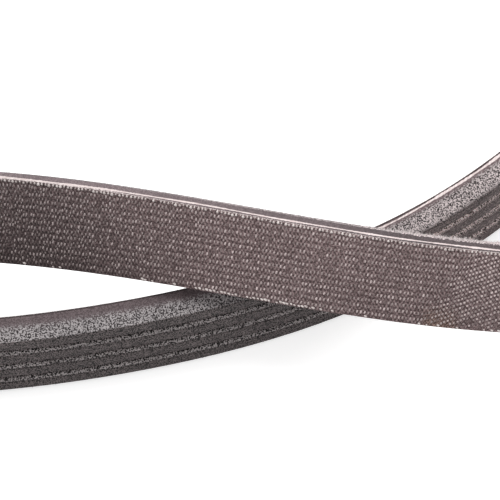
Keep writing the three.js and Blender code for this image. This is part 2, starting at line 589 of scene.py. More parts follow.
# %% Rubber material
def drawn_out(tree, place, along_scale, depth_scale):
    along, across, depth = place
    return tree.node("ShaderNodeCombineXYZ", X=tree.math("MULTIPLY", along, along_scale), Y=across,
                     Z=tree.math("MULTIPLY", depth, depth_scale))


def rubber_edge(tree, place, fine, uneven):
    """Colour of the cut edge, with the line of cut cloth along its back."""
    cloth_line = tree.mix(stretch_mask(tree, OPENED_STRETCH), CLOTH_LINE_COLOUR,
                          tree.mix(fine, *CUT_CLOTH_COLOURS))
    cloth_line = tree.mix(stretch_mask(tree, WHITE_STRETCH), cloth_line, tree.mix(fine, *WHITE_CLOTH_COLOURS))
    # Light painted onto the cut edge over one half of the belt
    edge = paler(tree, tree.mix(fine, *EDGE_COLOURS), 1.0, PAINTED_LIGHT_EDGE, PAINTED_LIGHT_EDGE_STRETCH, LIT_HALF_TINT)
    edge = paler(tree, edge, 1.0, LIGHT_EDGE, LIGHT_EDGE_STRETCH)
    edge = paler(tree, edge, 1.0, FUZZY_EDGE, FUZZY_STRETCH)
    knife_marks = cloud(tree, drawn_out(tree, place, 1, KNIFE_SHRINK), *KNIFE_MARKS)
    ragged = tree.math("MULTIPLY_ADD", uneven, RAGGED_CLOTH_LINE, place[2])
    past_cloth = tree.ramp(ragged, *CLOTH_LINE_BORDER)
    return tree.mix(past_cloth, cloth_line, tree.scaled(edge, knife_marks))


def rubber_flank(tree, place, specks, uneven, worn, lit_half):
    """Colour of the flanks: the two outer ones, and those in the grooves with painted shade deep down."""
    _, across, depth = place
    toward_cord = tree.ramp(depth, *WORN_FLANK_DEPTHS, "LINEAR", *WORN_FLANK)
    flank = tree.scaled(tree.mix(specks, *FLANK_COLOURS), tree.between(worn, 1.0, toward_cord))
    flank = paler(tree, flank, 1.0, FUZZY_FLANK, FUZZY_STRETCH)
    ragged = tree.math("MULTIPLY_ADD", uneven, RAGGED_GROOVE, depth)
    ragged = tree.math("MULTIPLY_ADD", lit_half, LIT_HALF_GROOVE, ragged)
    lit = tree.ramp(ragged, *LIT_GROOVE_BORDER)
    groove = paler(tree, tree.mix(specks, *GROOVE_COLOURS), 1.0, WORN_GROOVE, WORN_STRETCH)
    # Painted shade deep in the grooves, below the lit band
    groove = tree.mix(lit, tree.mix(specks, *GROOVE_SHADE_COLOURS), groove)
    outer = tree.ramp(tree.math("ABSOLUTE", across), *OUTER_FLANK_BORDER)
    # Light painted onto the flanks over one half of the belt
    return paler(tree, tree.mix(outer, groove, flank), 1.0, PAINTED_LIGHT_FLANK, tint=LIT_HALF_TINT)


def rubber_crest(tree, place, fine, lit_half):
    """Colour of the moulded crests."""
    darkest, lightest = [tree.between(lit_half, *ends) for ends in zip(STREAKS, LIT_HALF_STREAKS)]
    streaks = cloud(tree, drawn_out(tree, place, STREAK_SHRINK, 1), STREAK_SCALE, darkest, lightest)
    # Light painted onto the crests over one half of the belt
    crest = paler(tree, tree.mix(fine, *CREST_COLOURS), 1.0, PAINTED_LIGHT_CREST, tint=LIT_HALF_TINT)
    return tree.scaled(crest, streaks)


def ground_zone(tree, depth, uneven, frayed, worn):
    """1 on the ground flanks and 0 on the cut edge, over which it frays out along one stretch."""
    reach = tree.between(frayed, NEAT_WIDTH, FRAYED_WIDTH)
    reach = tree.math("MULTIPLY_ADD", stretch_mask(tree, FUZZY_STRETCH), -FUZZY_LESS, reach)
    reach = tree.math("MULTIPLY_ADD", worn, WORN_MORE, reach)
    reach = tree.math("MAXIMUM", reach, NEAT_WIDTH)
    ragged = tree.math("MULTIPLY_ADD", uneven, tree.between(frayed, NEAT_WIDTH, FRAY_DEPTH), depth)
    full = tree.math("MULTIPLY_ADD", reach, FRAY_OVERRUN, GROOVE_DEPTH + NEAT_WIDTH)
    full = tree.math("MULTIPLY_ADD", worn, -WORN_STEEP, full)
    return tree.ramp(ragged, tree.math("SUBTRACT", GROOVE_DEPTH, reach), full)


def crest_zone(tree, depth, uneven, worn, lit_half):
    """1 on the crests, with a ragged border where the belt is worn and a higher one where light is painted.
    """
    ragged = tree.math("MULTIPLY_ADD", uneven, tree.math("MULTIPLY", worn, WORN_CREST), depth)
    ragged = tree.math("MULTIPLY_ADD", lit_half, -LIT_HALF_CREST, ragged)
    return tree.ramp(ragged, *CREST_BORDER)


def make_rubber():
    material, tree, shader, where = start_material("ribbed rubber", roughness=0.78)
    place = [attribute(tree, name) for name in ("along", "across", "depth")]
    depth = place[2]
    specks = grain(tree, where, *SPECKS)
    fine = grain(tree, where, *FINE_SPECKS)
    uneven = tree.math("SUBTRACT", specks.outputs["Height"], 0.5)
    frayed = stretch_mask(tree, FRAYED_STRETCH)
    worn = stretch_mask(tree, WORN_STRETCH)
    # The half of the belt where light is painted
    lit_half = stretch_mask(tree, PAINTED_LIGHT_HALF)
    ground = ground_zone(tree, depth, uneven, frayed, worn)
    edge = rubber_edge(tree, place, fine.outputs["Mask"], uneven)
    flank = rubber_flank(tree, place, specks.outputs["Mask"], uneven, worn, lit_half)
    crest = rubber_crest(tree, place, fine.outputs["Mask"], lit_half)
    colour = tree.mix(crest_zone(tree, depth, uneven, worn, lit_half), tree.mix(ground, edge, flank), crest)
    tree.put(shader, "Base Color", tree.scaled(colour, cloud(tree, where, *RUBBER_CLOUDS)))
    height = tree.math("MULTIPLY_ADD", specks.outputs["Height"], ground, fine.outputs["Height"])
    bump(tree, shader, height, distance=0.10 * MM, strength=0.8)
    return material


RUBBER = make_rubber()

# %% [markdown]
# ## Cloth and threads
# The back is a plain weave, rubbed full of rubber. Where a thread comes up over its neighbour it is
# rubbed bare and lighter, and each of those is a small shape of its own, made below. Halfway between
# them, both ways, the other set of threads comes up a little, and shade is painted dark into the holes of
# the weave. That is the product of two waves, one by the number of the row and one by the number of the
# column, so it follows the threads where they swing. Shade is also painted between the rows, and towards
# the lower edge with light towards the upper one, and light is painted over one half of the belt. A faint
# brown stain lies low on the cloth at its seam.

# %% Cloth materials
CLOTH_COLOURS = (srgb(63, 50, 50), srgb(107, 92, 92))
CROWN_COLOURS = (srgb(85, 72, 71), srgb(191, 177, 176))
STAIN_TINT = (1.04, 0.98, 0.84, 1.0)
WEAVE_TONES_AND_HOLE_SHADE = (0.48, 1.52)
ROW_TONES_AND_GAP_SHADE = (0.84, 1.16)
LOWER_EDGE_SHADE = (0.60, 0.95)
UPPER_EDGE_LIGHT = 1.14
CLOTH_PAINTED_LIGHT = (0.94, 1.92)
CLOTH_SPECKS = (3600, 0.40, 0.60)
CLOTH_CLOUDS = (45, 0.88, 1.12)
STAIN_TOP = -0.3 * HALF_WIDTH
THREAD_END_COLOURS = (srgb(186, 172, 170), srgb(246, 236, 233))
CORD_COLOURS = (srgb(214, 194, 192), srgb(249, 236, 234))
FIBRE_COLOURS = (srgb(96, 90, 90), srgb(226, 219, 218))
THREAD_SPECKS = (5200, 0.30, 0.70)
THREAD_UNEVEN = (0.35, 0.78)


def make_cloth():
    material, tree, shader, where = start_material("back cloth", roughness=0.8)
    specks = grain(tree, where, *CLOTH_SPECKS)
    colour = tree.mix(specks.outputs["Mask"], *CLOTH_COLOURS)
    row_wave, column_wave = [tree.math("COSINE", tree.math("MULTIPLY", attribute(tree, name), 2 * math.pi))
                             for name in ("row", "column")]
    weave = tree.math("MULTIPLY", row_wave, column_wave)
    # The other set of threads a little lighter, and painted shade in the holes of the weave and between the
    # rows
    colour = tree.scaled(colour, tree.ramp(weave, -1.0, 1.0, "LINEAR", *WEAVE_TONES_AND_HOLE_SHADE))
    colour = tree.scaled(colour, tree.ramp(row_wave, -1.0, 1.0, "LINEAR", *ROW_TONES_AND_GAP_SHADE))
    across = attribute(tree, "across")
    # Painted shade towards the lower edge and painted light towards the upper one, the shade deeper off the
    # half where light is painted
    lower_edge_shade = tree.between(stretch_mask(tree, PAINTED_LIGHT_HALF), *LOWER_EDGE_SHADE)
    colour = tree.scaled(colour, tree.ramp(across, -HALF_WIDTH, HALF_WIDTH, "LINEAR", lower_edge_shade, UPPER_EDGE_LIGHT))
    colour = tree.scaled(colour, cloud(tree, where, *CLOTH_CLOUDS))
    low = tree.ramp(across, -HALF_WIDTH, STAIN_TOP, to_low=1.0, to_high=0.0)
    stained = tree.math("MULTIPLY", low, stretch_mask(tree, STAIN_STRETCH))
    colour = tree.vector("MULTIPLY", colour, tree.mix(stained, (1, 1, 1, 1), STAIN_TINT))
    # Light painted over one half of the belt
    tree.put(shader, "Base Color", paler(tree, colour, *CLOTH_PAINTED_LIGHT))
    height = tree.math("MULTIPLY_ADD", weave, 0.4, specks.outputs["Height"])
    bump(tree, shader, height, distance=0.10 * MM, strength=0.9)
    return material


def make_thread(name, colours, roughness, darkest, lightest):
    """A thread whose tone comes from the tone attribute, made uneven by the fine grain."""
    material, tree, shader, where = start_material(name, roughness)
    fine = grain(tree, where, *THREAD_SPECKS)
    uneven = tree.math("MULTIPLY_ADD", fine.outputs["Mask"], *THREAD_UNEVEN)
    share = tree.math("MULTIPLY", attribute(tree, "tone"), uneven)
    # Over one half of the belt the thread's colour goes from its darkest to its lightest factor, as painted
    # light
    tree.put(shader, "Base Color", paler(tree, tree.mix(share, *colours), darkest, lightest))
    bump(tree, shader, fine.outputs["Height"], distance=0.05 * MM, strength=0.5)
    return material


CLOTH = make_cloth()
CROWN_THREAD = make_thread("raised threads", CROWN_COLOURS, roughness=0.75, darkest=0.82, lightest=1.55)
CUT_THREAD = make_thread("cut thread ends", THREAD_END_COLOURS, roughness=0.7, darkest=0.85, lightest=1.05)
CORD = make_thread("opened cord", CORD_COLOURS, roughness=0.6, darkest=0.88, lightest=1.0)
FIBRE = make_thread("flank fibres", FIBRE_COLOURS, roughness=0.7, darkest=0.9, lightest=1.1)

# %% [markdown]
# ## The ribbed body
# A belt's section is the same all the way round, so the body is a section swept along the route. Curve to
# Mesh does this in Geometry Nodes. The guide is a closed curve with its twist set to Z-Up, and each
# point's tilt is the lean of the belt. Depth, place across and length along are stored on the way, for
# the materials.

# %% Guide curve and section curves
BODY_STATIONS = 1150
CROWN_HEIGHT = 0.10 * MM
BODY_UNDER_CLOTH = 0.1 * MM
SHARP_ANGLE = math.radians(38)


def closed_curve(name, points, tilts=None):
    curve = bpy.data.curves.new(name, "CURVE")
    curve.dimensions = "3D"
    curve.twist_mode = "Z_UP"
    spline_made = curve.splines.new("POLY")
    spline_made.points.add(len(points) - 1)
    padded = np.hstack([points, np.ones((len(points), 1))])
    spline_made.points.foreach_set("co", padded.ravel())
    if tilts is not None:
        spline_made.points.foreach_set("tilt", tilts)
    spline_made.use_cyclic_u = True
    return add_object(name, curve)


def section_curve(name, outline):
    """Curve to Mesh turns a section's X outward and its Y down the belt's width, so both are negated."""
    return closed_curve(name, np.hstack([-outline, np.zeros((len(outline), 1))]))


guide_lengths = np.arange(BODY_STATIONS) * LOOP / BODY_STATIONS
guide_centres, _, _, _, guide_leans = at_length(guide_lengths)
guide = closed_curve("guide", guide_centres, -guide_leans)

BODY_BACK = -CORD_DEPTH + CROWN_HEIGHT + BODY_UNDER_CLOTH
body_outline = section_outline(4, BODY_BACK, flank_steps=4)
print("points in the body's section:", len(body_outline))

# %% Sweep tree
def make_sweep_tree():
    tree, source, identifiers = geometry_tree("belt sweep", Section="Object", Unevenness="Float",
                                              Unevenness_Scale="Float", Material="Material")
    section = tree.node("GeometryNodeObjectInfo", Object=source["Section"]).outputs["Geometry"]
    place = tree.node("ShaderNodeSeparateXYZ", _0=tree.node("GeometryNodeInputPosition"))

    def store(geometry, name, value):
        settings = {"data_type": "FLOAT", "domain": "POINT"}
        return tree.node("GeometryNodeStoreNamedAttribute", settings, Geometry=geometry, Name=name,
                         Value=value)

    section = store(section, "depth", tree.math("MULTIPLY", place.outputs["X"], -1))
    section = store(section, "across", tree.math("MULTIPLY", place.outputs["Y"], -1))
    rail = store(source["Geometry"], "along", tree.node("GeometryNodeSplineParameter").outputs["Length"])
    swept = tree.node("GeometryNodeCurveToMesh", Curve=rail, Profile_Curve=section)
    noise = tree.node("ShaderNodeTexNoise", Scale=source["Unevenness Scale"], Detail=2.0,
                      Vector=tree.node("GeometryNodeInputPosition"))
    amount = tree.math("MULTIPLY", tree.math("SUBTRACT", noise, 0.5), source["Unevenness"])
    normal = tree.node("GeometryNodeInputNormal").outputs["Normal"]
    moved = tree.node("GeometryNodeSetPosition", Geometry=swept, Offset=tree.scaled(normal, amount))
    finish_tree(tree, moved, source["Material"])
    return tree, identifiers


sweep_tree, sweep_ids = make_sweep_tree()


def outward_volume(mesh):
    """Volume by the divergence theorem. It is negative where the faces point inward."""
    mesh.calc_loop_triangles()
    corners = np.empty(len(mesh.loop_triangles) * 3, dtype=np.int32)
    mesh.loop_triangles.foreach_get("vertices", corners)
    places = np.empty(len(mesh.vertices) * 3)
    mesh.vertices.foreach_get("co", places)
    a, b, c = places.reshape(-1, 3)[corners.reshape(-1, 3)].transpose(1, 0, 2)
    return float((a * np.cross(b, c)).sum() / 6)


def swept_piece(name, outline, material, unevenness, scale):
    section = section_curve(name + " section", outline)
    piece = run_tree(sweep_tree, sweep_ids, guide, name, Section=section, Unevenness=unevenness,
                     Unevenness_Scale=scale, Material=material)
    remove(section)
    if outward_volume(piece.data) < 0:
        piece.data.flip_normals()
    piece.data.shade_smooth()
    piece.data.set_sharp_from_angle(angle=SHARP_ANGLE)
    print(name, "triangles:", triangles(piece), "volume in cubic cm:",
          round(outward_volume(piece.data) * 1e6, 2))
    return piece


# %% Ribbed body
rubber_body = swept_piece("rubber_body", body_outline, RUBBER, unevenness=0.06 * MM, scale=1200)
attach(rubber_body, "root")
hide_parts("ribbed_belt")

# %% [markdown]
# ## How the weave runs
# Twelve rows of threads run along the belt, between the two rows of cut ends. A belt's cloth comes in
# lengths that are laid on at a slant, and where two lengths meet the rows swing across the belt, run on
# the slant for a stretch, and swing back. The shift is a straight ramp with soft ends, by the distance
# past a slanted seam. It moves each row by a whole number of rows, and each cross thread by a whole
# number of threads, so that the weave also closes on itself round the loop. The cross threads aren't
# quite square to the belt, and the column lean is how far they run along it.

# %% Rows and columns of the weave
ROW_COUNT = 12
ROW_PITCH = 1.12 * MM
SWING_ROWS = 12
SWING_COLUMNS = 6
SWING_LENGTH = 20 * MM
SOFT_SHARE = 0.15
SEAM_SLANT = 0.5
SEAM_COLUMN = 416
COLUMN_LEAN = 0.05
CROWN_PITCH = 0.575 * MM
CROWNS_PER_ROW = int(round(LOOP / CROWN_PITCH))
seam_start = at_columns(NEAR_STRAND, SEAM_COLUMN)[0]
print("the cloth's seam starts at mm:", round(seam_start / MM, 1))


def past_seam(length, across):
    """Distance past the seam as a share of the swing's length."""
    return np.clip((length - seam_start - (across + HALF_WIDTH) * SEAM_SLANT) / SWING_LENGTH, 0, 1)


def soft_ramp(t):
    """A straight ramp from 0 to 1 whose ends are eased over the soft share."""
    start = np.minimum(t, SOFT_SHARE) ** 2
    end = SOFT_SHARE**2 - np.minimum(1 - t, SOFT_SHARE) ** 2
    straight = np.clip(t - SOFT_SHARE, 0, 1 - 2 * SOFT_SHARE)
    return ((start + end) / (2 * SOFT_SHARE) + straight) / (1 - SOFT_SHARE)


def row_shift(length, across):
    return SWING_ROWS * ROW_PITCH * soft_ramp(past_seam(length, across))


def column_shift(length, across):
    swung = SWING_COLUMNS * LOOP / CROWNS_PER_ROW * soft_ramp(past_seam(length, across))
    return -COLUMN_LEAN * across - swung


def swing_at(length, across):
    """How far the rows have swung: 0 along the belt, 1 on the full slant."""
    t = past_seam(length, across)
    return np.minimum(np.minimum(t, 1 - t) / SOFT_SHARE, 1)


# %% [markdown]
# ## The back cloth
# The cloth is a thin band cured onto the back. It is swept on the same guide and stops just short of the
# cut edges, where the knife has drawn it in a little. Each of its points gets the number of its row and
# of its column in the weave, whole on a raised thread and with fractions between, and the material shades
# it by them.

# %% Back cloth
CLOTH_THICKNESS = 0.35 * MM
CLOTH_FACE = -CORD_DEPTH + CROWN_HEIGHT
CLOTH_EDGE = HALF_WIDTH - 0.04 * MM


def band_outline(outer, inner, half_width, columns):
    """A flat band with a row of points across its outer face, so that the face can be uneven."""
    face = [(outer, y) for y in np.linspace(-half_width, half_width, columns)]
    return np.array(face + [(inner, half_width), (inner, -half_width)])


def read_attribute(mesh, name):
    values = np.empty(len(mesh.vertices), dtype=np.float32)
    mesh.attributes[name].data.foreach_get("value", values)
    return values


def store_weave(mesh):
    length, across = read_attribute(mesh, "along"), read_attribute(mesh, "across")
    rows = (across - row_shift(length, across)) / ROW_PITCH + (ROW_COUNT - 1) / 2
    columns = (length - column_shift(length, across)) * CROWNS_PER_ROW / LOOP
    store_values(mesh, "row", rows)
    store_values(mesh, "column", columns)


cloth_outline = band_outline(CLOTH_FACE, CLOTH_FACE + CLOTH_THICKNESS, CLOTH_EDGE, columns=40)
back_cloth = swept_piece("back_cloth", cloth_outline, CLOTH, unevenness=0.05 * MM, scale=1400)
store_weave(back_cloth.data)
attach(back_cloth, "root")

# %% [markdown]
# ## Small shapes set on the belt
# Raised threads, cut thread ends, cord filaments and loose fibres are all the same idea: a small shape,
# set many times at places that the belt gives. The places are the points of a guide mesh, each with the
# direction that the shape stands in and the direction that it lies along. Geometry Nodes sets the shape
# on every point with a small random turn and size. A shape has only a few faces, because there are tens
# of thousands of them.

# %% Small shapes
def small_mesh(name, vertices, faces, smooth):
    mesh = bpy.data.meshes.new(name)
    mesh.from_pydata(vertices, [], faces)
    if smooth:
        mesh.shade_smooth()
    return add_object(name, mesh)


thread_shape = small_mesh(
    "thread shape",
    [(0.5, 0, 0), (0.24, 0.5, 0), (-0.24, 0.5, 0), (-0.5, 0, 0), (-0.24, -0.5, 0), (0.24, -0.5, 0),
     (0.2, 0, 1), (-0.2, 0, 1)],
    [(0, 1, 6), (1, 2, 7, 6), (2, 3, 7), (3, 4, 7), (4, 5, 6, 7), (5, 0, 6), (5, 4, 3, 2, 1, 0)],
    smooth=True,
)
fibre_shape = small_mesh(
    "fibre shape",
    [(0.5, 0, 0), (-0.5, 0.5, -0.3), (-0.5, -0.5, -0.3), (-0.5, 0, 0.5)],
    [(1, 2, 3), (0, 2, 1), (0, 3, 2), (0, 1, 3)],
    smooth=False,
)

# %% Tree that sets a shape on points
def make_scatter_tree():
    tree, source, identifiers = geometry_tree("set shapes on points", Shape="Object", Length="Float",
                                              Width="Float", Height="Float", Size_Spread="Float",
                                              Turn_Spread="Float", Seed="Int", Material="Material")

    def named(name):
        made = tree.node("GeometryNodeInputNamedAttribute", {"data_type": "FLOAT_VECTOR"}, Name=name)
        return made.outputs["Attribute"]

    def spread(amount, shift):
        low = tree.math("MULTIPLY", amount, -1)
        made = tree.node("FunctionNodeRandomValue", {"data_type": "FLOAT"}, _2=low, _3=amount,
                         Seed=tree.math("ADD", source["Seed"], shift))
        return made.outputs[1]

    shape = tree.node("GeometryNodeObjectInfo", Object=source["Shape"]).outputs["Geometry"]
    stand = tree.node("FunctionNodeAxesToRotation", {"primary_axis": "Z", "secondary_axis": "X"},
                      Primary_Axis=named("stand"), Secondary_Axis=named("lie"))
    turn = tree.node("ShaderNodeCombineXYZ", Z=spread(source["Turn Spread"], 0))
    turn = tree.node("FunctionNodeEulerToRotation", Euler=turn)
    rotation = tree.node("FunctionNodeRotateRotation", {"rotation_space": "LOCAL"},
                         Rotation=stand, Rotate_By=turn)
    proportions = tree.node("ShaderNodeCombineXYZ", X=source["Length"], Y=source["Width"],
                            Z=source["Height"])
    size = tree.vector("MULTIPLY", proportions, named("size"))
    varied = tree.math("ADD", 1.0, spread(source["Size Spread"], 1))
    set_shapes = tree.node("GeometryNodeInstanceOnPoints", Points=source["Geometry"], Instance=shape,
                           Rotation=rotation, Scale=tree.scaled(size, varied))
    finish_tree(tree, set_shapes, source["Material"])
    return tree, identifiers


scatter_tree, scatter_ids = make_scatter_tree()

# %% Pieces made of small shapes
REST_CLEARANCE = 0.25 * MM
random = np.random.default_rng(7)


def point_mesh(name, places, **carried):
    """A mesh of loose points that carry vectors and numbers for the shapes set on them."""
    mesh = bpy.data.meshes.new(name)
    mesh.vertices.add(len(places))
    mesh.vertices.foreach_set("co", places.ravel())
    for label, values in carried.items():
        store_values(mesh, label, values)
    return add_object(name, mesh)


def scattered_piece(name, slot, length, depth, across, stand, lie, size, tone, lowest=REST_CLEARANCE,
                    **values):
    """Sets a shape at places on the belt and keeps the result as one plain piece.

    stand and lie are weights of the along, up and inward directions. A weight may differ from place to place.
    Places lower than lowest get no shape, because there the belt rests on its edge.
    """
    places, *directions = on_belt(length, depth, across)
    clear = places[:, 2] > lowest

    def columns(values):
        return [np.broadcast_to(value, len(length)) for value in values]

    def blend(weights):
        return sum(w[:, None] * d for w, d in zip(columns(weights), directions))[clear]

    source = point_mesh(name + " points", places[clear], stand=blend(stand), lie=blend(lie),
                        size=np.column_stack(columns(size))[clear], tone=tone[clear],
                        along=np.mod(length, LOOP)[clear])
    piece = run_tree(scatter_tree, scatter_ids, source, name, **values)
    for label in ("stand", "lie", "size"):
        if label in piece.data.attributes:
            piece.data.attributes.remove(piece.data.attributes[label])
    remove(source)
    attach(piece, "root")
    print(name, "shapes:", int(clear.sum()), "triangles:", triangles(piece))
    return piece


# %% [markdown]
# ## Raised threads of the weave
# In each row a thread comes up every 0.575 mm, and the rows are in step. The shift of a row depends on
# where it ends up, so the places are found by repetition. Off the half where light is painted, the cloth
# is filled with rubber and its threads lie less evenly. There the other set of threads shows too, halfway
# between, and smaller.

# %% Places of the raised threads
EDGE_MARGIN = 0.62 * MM
PLACE_ROUNDS = 60


def crown_places(offset):
    """Length and place across of every raised thread. An offset of a half gives the other set of threads."""
    rows = np.arange(-SWING_ROWS - 1, ROW_COUNT + 1)
    column, row = [grid.ravel() + offset for grid in np.meshgrid(np.arange(CROWNS_PER_ROW), rows)]
    base = (row - (ROW_COUNT - 1) / 2) * ROW_PITCH
    length, across = column * LOOP / CROWNS_PER_ROW, base
    for _ in range(PLACE_ROUNDS):
        length = column * LOOP / CROWNS_PER_ROW + column_shift(length, across)
        across = base + row_shift(length, across)
    keep = np.abs(across) < HALF_WIDTH - EDGE_MARGIN
    return length[keep], across[keep]


# %% [markdown]
# A thread's tone has a random part, which is wider in the filled half. There light is painted onto the
# upper rows, so they are lighter than the lower ones, and the upper rows are lighter too where the rows
# swing. On the swing the threads are also lighter, shorter and wider.

# %% Raised threads as pieces
CROWN_LENGTH = 0.64 * MM
CROWN_WIDTH = 0.29 * MM
CROWN_SUNK = 0.01 * MM
CROWN_LEAN = (0.22, 0.15)
TONE_SPREAD = 0.24
TONE_LIMITS = (0.05, 1.4)
FILLED_SPREAD = 0.3
UPPER_ROWS_PAINTED_LIGHT = 0.14
SWING_TONE = 0.18
SWING_RISE = 0.27
SWING_SHORTER = 0.25
SWING_WIDER = 0.20
STRAY_ALONG = (0.03 * MM, 0.05 * MM)
STRAY_ACROSS = (0.05 * MM, 0.07 * MM)


def raised_threads(name, length, across, scale, brightness, seed):
    count = len(length)
    swing = swing_at(length, across)
    filled = 1 - share_of(PAINTED_LIGHT_HALF, length)
    rise = across / HALF_WIDTH

    def strayed(values, even, more):
        return values + random.normal(0, 1, count) * (even + more * filled)

    tone = random.normal(brightness, TONE_SPREAD, count) * (1 + FILLED_SPREAD * filled)
    # Light painted onto the upper rows off the half where light is painted, and upper rows lighter on the
    # swing
    tone = tone + UPPER_ROWS_PAINTED_LIGHT * filled * rise + (SWING_TONE + SWING_RISE * rise) * swing
    length = strayed(length, *STRAY_ALONG)
    across = strayed(across, *STRAY_ACROSS)
    size = (scale * (1 - SWING_SHORTER * swing), scale * (1 + SWING_WIDER * swing), 1)
    lean = CROWN_LEAN[0] + CROWN_LEAN[1] * swing
    return scattered_piece(name, "back_fabric", length, CLOTH_FACE + CROWN_SUNK, across, stand=(0, 0, -1),
                           lie=(lean, 1, 0), size=size, tone=np.clip(tone, *TONE_LIMITS),
                           Shape=thread_shape, Length=CROWN_LENGTH, Width=CROWN_WIDTH,
                           Height=CROWN_HEIGHT - CROWN_SUNK, Size_Spread=0.16, Turn_Spread=0.16, Seed=seed,
                           Material=CROWN_THREAD)


# %% Raised threads, in three lengths of the loop
THIRDS = ("small_lobe", "near_strand", "large_lobe")
crown_length, crown_across = crown_places(0)
crown_third = np.floor(np.mod(crown_length, LOOP) / LOOP * len(THIRDS)).astype(int)
print("raised threads:", len(crown_length))
for number, third in enumerate(THIRDS):
    chosen = crown_third == number
    raised_threads("raised_threads_" + third, crown_length[chosen], crown_across[chosen], scale=1,
                   brightness=0.55, seed=11 + number)

# %% The other set of threads, off the half where light is painted
between_length, between_across = crown_places(0.5)
filled_share = 1 - share_of(PAINTED_LIGHT_HALF, between_length)
chosen = random.uniform(0, 1, len(between_length)) < filled_share
raised_threads("threads_between_rows", between_length[chosen], between_across[chosen], scale=0.72,
               brightness=0.30, seed=14)

# %% [markdown]
# ## Cut thread ends
# The belt is slit from a wide sleeve, so the cloth's cross threads are cut at both edges. Their ends are
# clean inside and stand out white against the dark rubber. They lie on the back just inside the corner.
# Along the upper edge nearly every thread shows. Along the lower one the knife ran cleaner, and ends
# stand out only here and there, apart from one ragged stretch.

# %% Cut thread ends
END_WIDTH = 0.40 * MM
END_HEIGHT = 0.14 * MM
END_SUNK = 0.04 * MM
END_OVERHANG = 0.03 * MM
END_UNEVEN = 0.03
WHITE_END_SIZE = 0.15


def thread_ends(name, side, seed, slope, end_length, shown, ragged):
    """Ends of the cross threads on one edge: the share that shows, and what the ragged stretch adds to it."""
    length = (np.arange(CROWNS_PER_ROW) + random.normal(0, 0.07, CROWNS_PER_ROW)) * LOOP / CROWNS_PER_ROW
    shown = shown + ragged * share_of(RAGGED_STRETCH, length)
    length = length[random.uniform(0, 1, CROWNS_PER_ROW) < shown]
    count = len(length)
    size = np.clip(random.normal(1, 0.18, count), 0.5, 1.4)
    size = size * (1 + WHITE_END_SIZE * share_of(WHITE_STRETCH, length))
    across = side * (HALF_WIDTH + END_OVERHANG - size * end_length / 2)
    depth = CLOTH_FACE + END_SUNK + random.uniform(-END_UNEVEN, END_UNEVEN, count) * MM
    lean = random.normal(slope, 0.15, count)
    return scattered_piece(name, "tensile_cord", length, depth, across, stand=(0, 0.5 * side, -1),
                           lie=(lean, 1, 0), size=(size, size, size), tone=random.uniform(0.3, 1.0, count),
                           Shape=thread_shape, Length=end_length, Width=END_WIDTH, Height=END_HEIGHT,
                           Size_Spread=0.1, Turn_Spread=0.2, Seed=seed, Material=CUT_THREAD)


thread_ends("thread_ends_upper", 1, seed=32, slope=0.2, end_length=0.40 * MM, shown=0.96, ragged=0)
thread_ends("thread_ends_lower", -1, seed=30, slope=-0.9, end_length=0.60 * MM, shown=0.16, ragged=0.80)

# %% [markdown]
# ## The opened cord
# One cord is wound round the belt in a helix, a little under a millimetre to the turn. A straight cut
# therefore passes slowly from one side of a turn to the other, and the width of cord that it opens is a
# chord of a circle: nothing at the ends, the full diameter in the middle. The helix's place is set so
# that the cord comes out of the rubber where the photograph shows it. In the white stretch its filaments
# have spread and lie nearer to the back, and so they have on the other strand. Two waves make its width
# and its line a little uneven.

# %% Opened cord along both cut edges
CORD_RADIUS = 0.42 * MM
HELIX_PITCH = 0.90 * MM
LEAST_CHORD = 0.15 * MM
FULL_CHORD = 0.40 * MM
CORD_UNDER_EDGE = 0.07 * MM
FILAMENT_PITCH = 0.22 * MM
FILAMENT_LENGTH = 1.30 * MM
FILAMENT_WIDTH = 0.84 * MM
FILAMENT_HEIGHT = 0.10 * MM
WHITE_SPREAD = 0.35
BROAD_SPREAD = 0.25
CORD_GAP_COLUMN = 95
gap_middle = at_columns(FAR_STRAND, CORD_GAP_COLUMN)[0]


def wave(length, stretch, start=0):
    """A sine along the loop. The stretch is the length in mm over which its angle grows by one radian."""
    return np.sin(length / (stretch * MM) + start)


def opened_cord(name, side, gap, seed):
    count = int(round(LOOP / FILAMENT_PITCH))
    length = np.arange(count) * LOOP / count
    offset = (np.mod((length - gap) / LOOP, 1) - 0.5) * HELIX_PITCH
    chord = 2 * np.sqrt(np.clip(CORD_RADIUS**2 - offset**2, 0, None))
    opened = chord > LEAST_CHORD
    length, width = length[opened], np.clip(chord[opened] / FULL_CHORD, 0, 1)
    count = len(length)
    spread = share_of(WHITE_STRETCH, length)
    broad = share_of(BROAD_CORD_STRETCH, length)
    width = width * (0.9 + 0.15 * wave(length, 2.3) + 0.10 * wave(length, 0.9))
    width = width * (1 + WHITE_SPREAD * spread + BROAD_SPREAD * broad)
    wander = (0.05 * wave(length, 7) + 0.05 * wave(length, 2.9, 1)) * MM
    wander = wander + (0.16 - 0.24 * spread - 0.32 * broad) * MM
    return scattered_piece(name, "tensile_cord", length, wander, side * (HALF_WIDTH - CORD_UNDER_EDGE),
                           stand=(0, side, 0), lie=(1, 0, 0.6), size=(width, width, 1), lowest=0,
                           tone=random.uniform(0.2, 1.1, count), Shape=thread_shape,
                           Length=FILAMENT_LENGTH, Width=FILAMENT_WIDTH, Height=FILAMENT_HEIGHT,
                           Size_Spread=0.08, Turn_Spread=0.12, Seed=seed, Material=CORD)


opened_cord("opened_cord_upper", 1, gap_middle, seed=42)
opened_cord("opened_cord_lower", -1, gap_middle + LOOP * 0.45, seed=40)

# %% [markdown]
# ## Fibres on the ground flanks
# The rib compound is filled with short chopped fibres. Grinding the flanks leaves their ends standing
# out, and they catch the light as small bright specks, and as a pale fuzz where a flank is seen edge-on.

